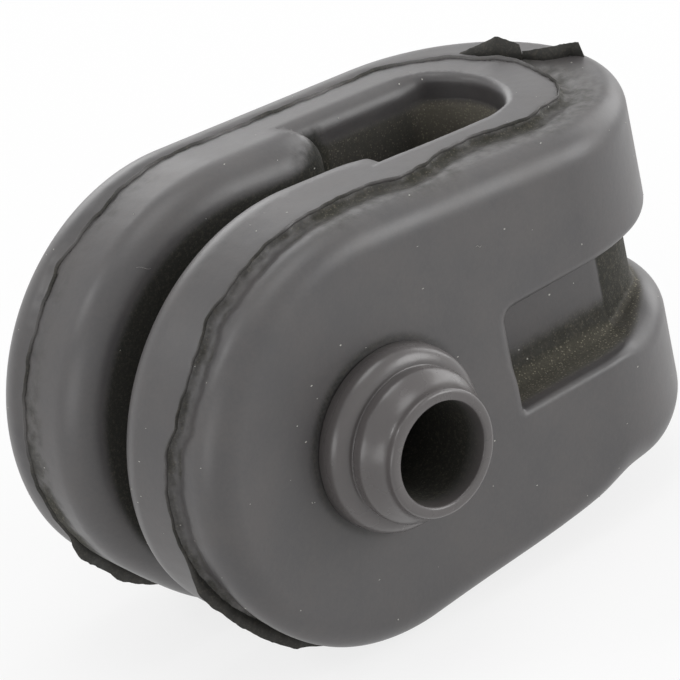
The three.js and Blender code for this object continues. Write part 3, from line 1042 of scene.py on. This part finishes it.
def collar_profile(body, c):
    """Closed outline of a collar as radius and height above the face, counter to the clock."""
    tip = HIGH.y - body.half_thickness
    inner = body.bore / 2
    foot = body.pad_gap / 2 + LINING_GAP - body.half_thickness
    hidden = c.tip_radius - 0.2 * MM
    side = [(hidden, foot), (hidden, -SUNK), (c.disc_radius - 0.3 * MM, -SUNK)]
    side += [(c.disc_radius - 0.25 * MM, 0.0), (c.disc_radius, 0.35 * MM), (c.disc_radius, DISC_SIDE)]
    valley = c.ring_radius - c.crease
    for turn in quarter_turn(0.12, 9):
        side.append((valley + (c.disc_radius - valley) * math.cos(turn),
                     DISC_SIDE + (c.disc_height - DISC_SIDE) * math.sin(turn)))
    for turn in quarter_turn(0.2, 6):
        side.append((valley + c.crease * math.sin(turn),
                     c.disc_height + 0.55 * MM * (1 - math.cos(turn))))
    neck_top = tip - 0.75 * MM
    for t in np.linspace(0.0, 1.0, 12):
        fall = float(1 - smooth_step(0.0, 1.0, t ** 0.75))
        side.append((mix(c.tip_radius, c.ring_radius, fall), mix(c.ring_height, neck_top, t)))
    for turn in quarter_turn(0.0, 5):
        side.append((c.tip_radius - 0.45 * MM * (1 - math.cos(turn)),
                     tip - 0.4 * MM * (1 - math.sin(turn))))
    side += [(inner + 0.3 * MM, tip), (inner + 0.08 * MM, tip - 0.08 * MM), (inner, tip - 0.3 * MM)]
    side += [(inner, tip - 3 * MM), (inner, tip - 8 * MM), (inner, foot)]
    return side


class HANGER_OT_collars(bpy.types.Operator):
    """Build the two collars with the lining of the bore"""

    bl_idname = "hanger.collars"
    bl_label = "Collars"

    def execute(self, context):
        body, c = context.scene.hanger_body, context.scene.hanger_collar
        outline = np.array(collar_profile(body, c))
        rows = len(outline)
        turns = np.linspace(0, 2 * math.pi, c.segments, endpoint=False)
        inner = body.bore / 2
        for name, way in (("collar_front", -1), ("collar_back", 1)):
            radius, height = outline[:, 0], outline[:, 1]
            points = [
                np.stack([radius * math.cos(a), way * (body.half_thickness + height),
                          radius * math.sin(a)], axis=1)
                for a in turns
            ]
            points = np.concatenate(points)
            k = np.arange(c.segments)[:, None] * rows
            following = (np.arange(c.segments)[:, None] + 1) % c.segments * rows
            i = np.arange(rows)[None, :]
            j = (i + 1) % rows
            quads = np.stack([k + i, k + j, following + j, following + i], axis=-1).reshape(-1, 4)
            faces = quads if way < 0 else quads[:, ::-1]
            piece = new_piece(name, points, faces, rubber_material(context.scene.hanger_finish))
            reach = np.hypot(points[:, 0], points[:, 2])
            below_tip = HIGH.y - np.abs(points[:, 1])
            # Painted shade: the bore is painted dark inward from 2 mm below the tip, and the collar's foot
            # dark for contact shade and dirt.
            in_bore = step_mm(0.2, 0.02, reach - inner) * step_mm(0, 2, below_tip)
            foot = step_mm(0.45, 0.0, np.abs(points[:, 1]) - body.half_thickness)
            store(piece.data, "grime", np.clip(in_bore + foot * (reach > inner + MM), 0, 1))
            store(piece.data, "dust", 0.2 * in_bore)
            store(piece.data, "polish", 1 - in_bore)
        return {"FINISHED"}


# Dust

def random_vector(tree, low, high, seed):
    """Another vector between these two on each point."""
    made = node(tree, "FunctionNodeRandomValue", data_type="FLOAT_VECTOR")
    ends = [each for each in made.inputs if each.type == "VECTOR" and each.name in ("Min", "Max")]
    ends[0].default_value, ends[1].default_value = low, high
    tree.links.new(seed, made.inputs["Seed"])
    return [each for each in made.outputs if each.type == "VECTOR"][0]


def spread(tree, surface, density, seed):
    """Random points on a surface, and the way that each one faces."""
    inputs = {"Mesh": surface, "Density": density, "Seed": seed}
    made = node(tree, "GeometryNodeDistributePointsOnFaces", inputs)
    return made.outputs["Points"], made.outputs["Rotation"]


def put_on(tree, points, thing, turn, size):
    """A copy of the thing on each point."""
    inputs = {"Points": points, "Instance": thing, "Rotation": turn, "Scale": size}
    return result(tree, "GeometryNodeInstanceOnPoints", inputs)


def dust_tree(material):
    """Small uneven specks and short bent hairs, scattered over a surface."""
    tree, given = new_tree("dust_on_rubber", {
        "Speck": 0.1 * MM, "Density": 1000.0, "Hair Length": 1.5 * MM, "Hair Radius": 0.02 * MM,
        "Hair Density": 1000.0, "Seed": 1,
    })
    surface, seed = given["Geometry"], given["Seed"]
    other_seed = math_node(tree, "ADD", seed, 7.0)
    points, turn = spread(tree, surface, given["Density"], seed)
    ball = result(tree, "GeometryNodeMeshIcoSphere", {"Radius": given["Speck"], "Subdivisions": 1})
    size = random_vector(tree, (0.4, 0.4, 0.3), (2.1, 1.4, 0.7), seed)
    dust = put_on(tree, points, ball, turn, size)

    points, turn = spread(tree, surface, given["Hair Density"], other_seed)
    strand = result(
        tree, "GeometryNodeCurvePrimitiveBezierSegment",
        {"Resolution": 10, "Start": (-0.5, 0.0, 0.0), "Start Handle": (-0.2, 0.35, 0.12),
         "End Handle": (0.15, -0.25, 0.1), "End": (0.5, 0.1, 0.02)}, mode="POSITION",
    )
    length_each_way = result(tree, "ShaderNodeCombineXYZ", {k: given["Hair Length"] for k in range(3)})
    strand = result(tree, "GeometryNodeTransform", {"Geometry": strand, "Scale": length_each_way})
    circle = {"Resolution": 5, "Radius": given["Hair Radius"]}
    section = result(tree, "GeometryNodeCurvePrimitiveCircle", circle)
    hair = {"Curve": strand, "Profile Curve": section, "Fill Caps": True}
    hair = result(tree, "GeometryNodeCurveToMesh", hair)
    spin = random_vector(tree, (0.0, 0.0, 0.0), (0.0, 0.0, 6.283), seed)
    spin = result(tree, "FunctionNodeEulerToRotation", {0: spin})
    turn = result(
        tree, "FunctionNodeRotateRotation", {"Rotation": turn, "Rotate By": spin}, rotation_space="LOCAL"
    )
    size = random_vector(tree, (0.4, 0.3, 0.5), (1.2, 1.2, 1.0), other_seed)
    lint = put_on(tree, points, hair, turn, size)
    joined = tree.nodes.new("GeometryNodeJoinGeometry")
    for part in (dust, lint):
        tree.links.new(part, joined.inputs[0])
    return finish_tree(tree, joined.outputs[0], material)


class HANGER_OT_dust(bpy.types.Operator):
    """Scatter pale specks and hairs of lint over the body"""

    bl_idname = "hanger.dust"
    bl_label = "Dust and Lint"

    def execute(self, context):
        d = context.scene.hanger_dust
        body = bpy.data.objects["rubber_body"]
        tree = dust_tree(lint_material(context.scene.hanger_finish))
        values = {
            "Speck": d.speck, "Density": d.density, "Hair Length": d.hair_length,
            "Hair Radius": d.hair_radius, "Hair Density": d.hair_density, "Seed": d.seed,
        }
        grown("dust_and_lint", body.data.copy(), tree, values)
        return {"FINISHED"}


# Stage

# Place and width of each lamp, in metres
LAMPS = {
    "front": ((0.8, -0.75, 0.35), 0.7), "left": ((-1.1, -0.15, 0.12), 0.7),
    "right": ((0.95, 0.15, 0.3), 0.7), "top": ((0.05, 0.0, 1.15), 0.7),
    "back": ((0.4, 1.0, 0.45), 0.7), "small": ((-0.7, 0.45, 0.78), 0.25),
}


class HANGER_OT_studio(bpy.types.Operator):
    """Set up the camera, the lamps, the surroundings and the floor"""

    bl_idname = "hanger.studio"
    bl_label = "Studio"

    def execute(self, context):
        scene, s = context.scene, context.scene.hanger_studio
        add_camera(scene)
        for name, (place, width) in LAMPS.items():
            add_lamp(f"{name}_lamp", place, width, getattr(s, name))
        set_surroundings(scene, s.sky)
        add_floor(s.floor)
        scene.view_settings.view_transform = "Standard"
        return {"FINISHED"}


# The camera as it was fitted to the photograph
CAMERA_PLACE = (-0.58286, -0.81847, 0.51129)
CAMERA_TURN = (1.0954, 0.1774, -0.7166)
CAMERA_LENS = 588.75


def add_camera(scene):
    data = bpy.data.cameras.new("camera")
    data.sensor_width = 36.0
    data.lens = CAMERA_LENS
    camera = bpy.data.objects.new("camera", data)
    camera.location = CAMERA_PLACE
    camera.rotation_euler = CAMERA_TURN
    scene.collection.objects.link(camera)
    scene.camera = camera


def add_lamp(name, place, width, watts):
    data = bpy.data.lights.new(name, "AREA")
    data.shape = "DISK"
    data.size = width
    data.energy = watts
    lamp = bpy.data.objects.new(name, data)
    lamp.location = place
    lamp.rotation_euler = (-Vector(place)).to_track_quat("-Z", "Y").to_euler()
    bpy.context.scene.collection.objects.link(lamp)


def seen_directly(tree):
    """One for rays from the camera, off gloss or through glass, nought for the rest."""
    path = node(tree, "ShaderNodeLightPath").outputs
    gloss = math_node(tree, "MAXIMUM", path["Is Camera Ray"], path["Is Glossy Ray"])
    return math_node(tree, "MAXIMUM", gloss, path["Is Transmission Ray"])


def set_surroundings(scene, strength):
    world = bpy.data.worlds.new("studio")
    world.use_nodes = True
    scene.world = world
    tree = world.node_tree
    tree.nodes.clear()
    level = ramp(tree, seen_directly(tree), 0.0, 1.0, strength, 1.0)
    plain = result(tree, "ShaderNodeBackground", {"Color": (1, 1, 1, 1), "Strength": level})
    node(tree, "ShaderNodeOutputWorld", {"Surface": plain})


def add_floor(half):
    material, tree = new_material("pale_floor")
    matt = result(tree, "ShaderNodeBsdfDiffuse", {"Color": (0.86, 0.86, 0.86, 1)})
    glow = result(tree, "ShaderNodeEmission", {"Color": (1, 1, 1, 1), "Strength": 1.0})
    much = times(tree, seen_directly(tree), 0.8)
    mixed = result(tree, "ShaderNodeMixShader", {0: much, 1: matt, 2: glow})
    node(tree, "ShaderNodeOutputMaterial", {"Surface": mixed})
    mesh = bpy.data.meshes.new("floor")
    corners = [(-half, -half, LOW.z), (half, -half, LOW.z), (half, half, LOW.z), (-half, half, LOW.z)]
    mesh.from_pydata(corners, [], [(0, 1, 2, 3)])
    mesh.materials.append(material)
    floor = bpy.data.objects.new("floor", mesh)
    bpy.context.scene.collection.objects.link(floor)


class HANGER_PT_panel(bpy.types.Panel):
    """Lists the steps that build the hanger"""

    bl_idname = "HANGER_PT_panel"
    bl_label = "Rubber Hanger"
    bl_space_type = "VIEW_3D"
    bl_region_type = "UI"
    bl_category = "Hanger"

    def draw(self, context):
        for step in STEPS:
            self.layout.operator(step.bl_idname)


STEPS = (
    HANGER_OT_body, HANGER_OT_collars, HANGER_OT_flash, HANGER_OT_flaps, HANGER_OT_dust,
    HANGER_OT_studio,
)
GROUPS = {
    "hanger_body": BodySizes, "hanger_collar": CollarSizes, "hanger_flash": FlashSizes,
    "hanger_dust": DustSizes, "hanger_finish": Finish, "hanger_studio": StudioSizes,
}


def register():
    for group in GROUPS.values():
        bpy.utils.register_class(group)
    for name, group in GROUPS.items():
        setattr(bpy.types.Scene, name, PointerProperty(type=group))
    for made in (*STEPS, HANGER_PT_panel):
        bpy.utils.register_class(made)


def unregister():
    for made in (HANGER_PT_panel, *reversed(STEPS)):
        bpy.utils.unregister_class(made)
    for name in GROUPS:
        delattr(bpy.types.Scene, name)
    for group in reversed(GROUPS.values()):
        bpy.utils.unregister_class(group)


def main():
    register()
    bpy.ops.hanger.body()
    bpy.ops.hanger.collars()
    bpy.ops.hanger.flash()
    bpy.ops.hanger.flaps()
    bpy.ops.hanger.dust()
    bpy.ops.hanger.studio()


if __name__ == "__main__":
    main()
